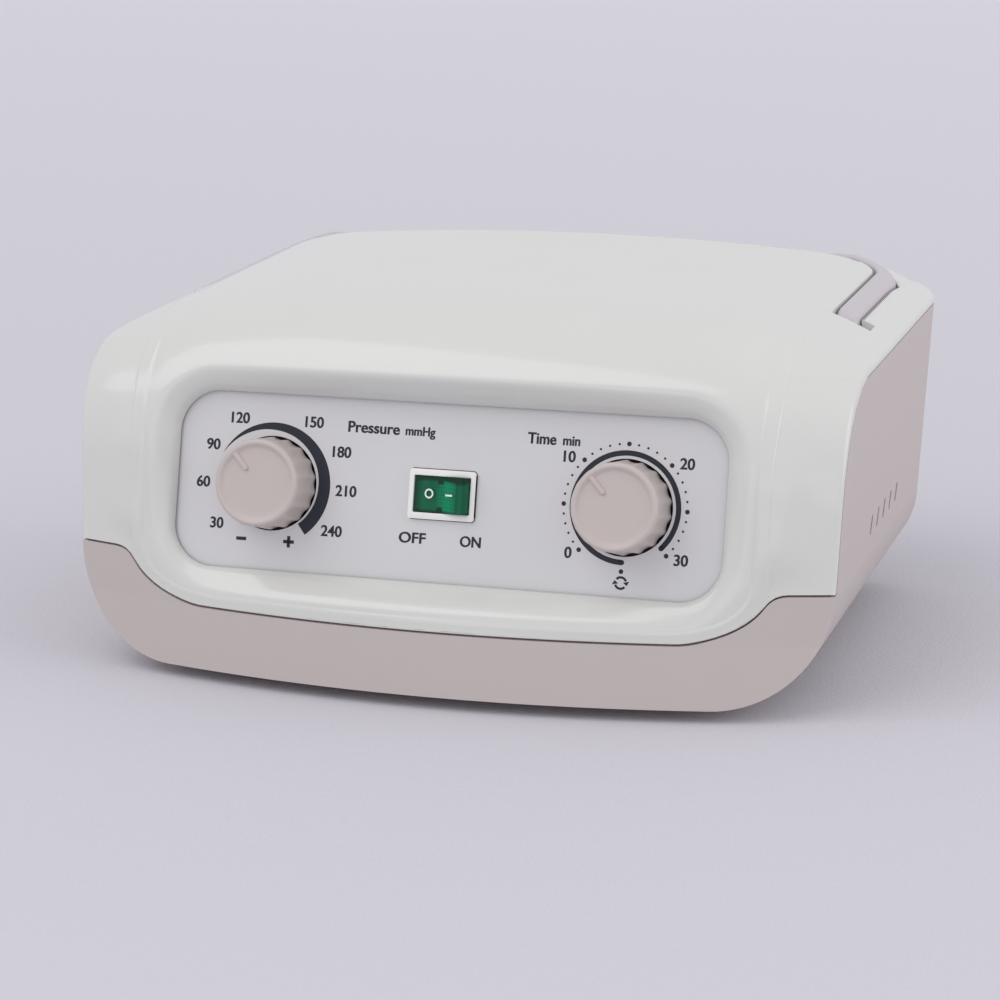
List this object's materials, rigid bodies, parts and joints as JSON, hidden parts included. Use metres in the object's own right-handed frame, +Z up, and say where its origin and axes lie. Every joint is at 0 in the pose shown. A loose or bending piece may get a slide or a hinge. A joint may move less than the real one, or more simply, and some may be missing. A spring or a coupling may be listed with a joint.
{
  "type": "compression therapy pump",
  "caption": "Table-top air pump for compression garments, with round dials, a green rocker switch and a fold-down carrying handle.",
  "frame": {"origin": "on the table under the middle of the casing, at the centre of the bounding box in x and y", "axes": "+X to the right of the front, +Y from the front to the back, +Z up"},
  "size_m": [0.244, 0.19, 0.115],
  "materials": {
    "casing_white": "glossy moulded",
    "casing_taupe": "satin moulded",
    "panel_grey": "fine satin film",
    "knob_plastic": "satin moulded",
    "well_black": "matt",
    "steel": "zinc plated",
    "brass": "plated",
    "switch_white": "glossy",
    "switch_green": "translucent glossy",
    "handle_plastic": "satin moulded",
    "foot_rubber": "matt",
    "membrane_rubber": "matt",
    "hose_silicone": "clear silicone",
    "inner_plastic": "moulded",
    "frame_aluminium": "die cast",
    "core_iron": "laminated",
    "winding_copper": "enamelled wire",
    "filter_felt": "felt",
    "electric_black": "moulded",
    "fuse_glass": "clear",
    "board_green": "solder mask",
    "terminal_green": "moulded",
    "lead_insulation": "wire insulation"
  },
  "bodies": {
    "casing": {"air_outlet_block": "inner_plastic", "board_screws": "steel", "capacitors": "electric_black", "casing_screws": "steel", "circuit_board": "board_green", "control_panel": "panel_grey", "distributor_body": "inner_plastic", "distributor_motor": "steel", "fuse": "fuse_glass", "fuse_cap": "electric_black", "fuse_holder": "electric_black", "handle_pins": "steel", "inlet_contacts": "brass", "left_intake_filter": "filter_felt", "left_pump_head": "inner_plastic", "left_pump_hose": "hose_silicone", "lower_casing": "casing_taupe", "mains_inlet": "electric_black", "mains_leads": "lead_insulation", "outlet_tubes": "hose_silicone", "pivot_caps": "casing_white", "pressure_dial_well": "well_black", "pressure_nut": "brass", "pressure_regulator": "inner_plastic", "pump_coils": "winding_copper", "pump_cores": "core_iron", "pump_diaphragms": "membrane_rubber", "pump_frame": "frame_aluminium", "pump_mounts": "foot_rubber", "regulator_hose": "hose_silicone", "relay": "electric_black", "right_intake_filter": "filter_felt", "right_pump_head": "inner_plastic", "right_pump_hose": "hose_silicone", "rubber_feet": "foot_rubber", "switch_housing": "switch_white", "switch_terminals": "brass", "terminal_block": "terminal_green", "timer_dial_well": "well_black", "timer_mechanism": "inner_plastic", "timer_nut": "brass", "transformer_core": "core_iron", "transformer_winding": "winding_copper", "upper_cover": "casing_white"},
    "handle": {"carry_handle": "handle_plastic"},
    "pressure_dial": {"pressure_knob": "knob_plastic", "pressure_spindle": "steel"},
    "timer_dial": {"timer_knob": "knob_plastic", "timer_spindle": "steel"},
    "rocker": {"switch_rocker": "switch_green"},
    "pump_shuttle": {"pump_rod": "steel", "pump_magnets": "core_iron", "pump_pistons": "steel"},
    "distributor_disc": {"distributor_rotor": "inner_plastic", "distributor_shaft": "steel"}
  },
  "joints": [
    {"name": "handle_fold", "type": "hinge", "parent": "casing", "child": "handle", "pos_m": [0, 0.0135, 0.098], "axis": [1, 0, 0], "range_deg": [0, 90]},
    {"name": "pressure_turn", "type": "hinge", "parent": "casing", "child": "pressure_dial", "pos_m": [-0.0562, -0.07, 0.06], "axis": [0, -0.9671, 0.2543], "range_deg": [-172, 90]},
    {"name": "timer_turn", "type": "hinge", "parent": "casing", "child": "timer_dial", "pos_m": [0.0562, -0.07, 0.06], "axis": [0, -0.9671, 0.2543], "range_deg": [-177, 138]},
    {"name": "rocker_tilt", "type": "hinge", "parent": "casing", "child": "rocker", "pos_m": [-0.00085, -0.06971, 0.05992], "axis": [0, 0.2543, 0.9671], "range_deg": [0, 24.6]},
    {"name": "shuttle_stroke", "type": "slide", "parent": "casing", "child": "pump_shuttle", "axis": [1, 0, 0], "range_m": [-0.0015, 0.0015]},
    {"name": "disc_turn", "type": "hinge", "parent": "casing", "child": "distributor_disc", "pos_m": [-0.08, -0.008, 0.0633], "axis": [0, 0, 1], "continuous": true}
  ]
}
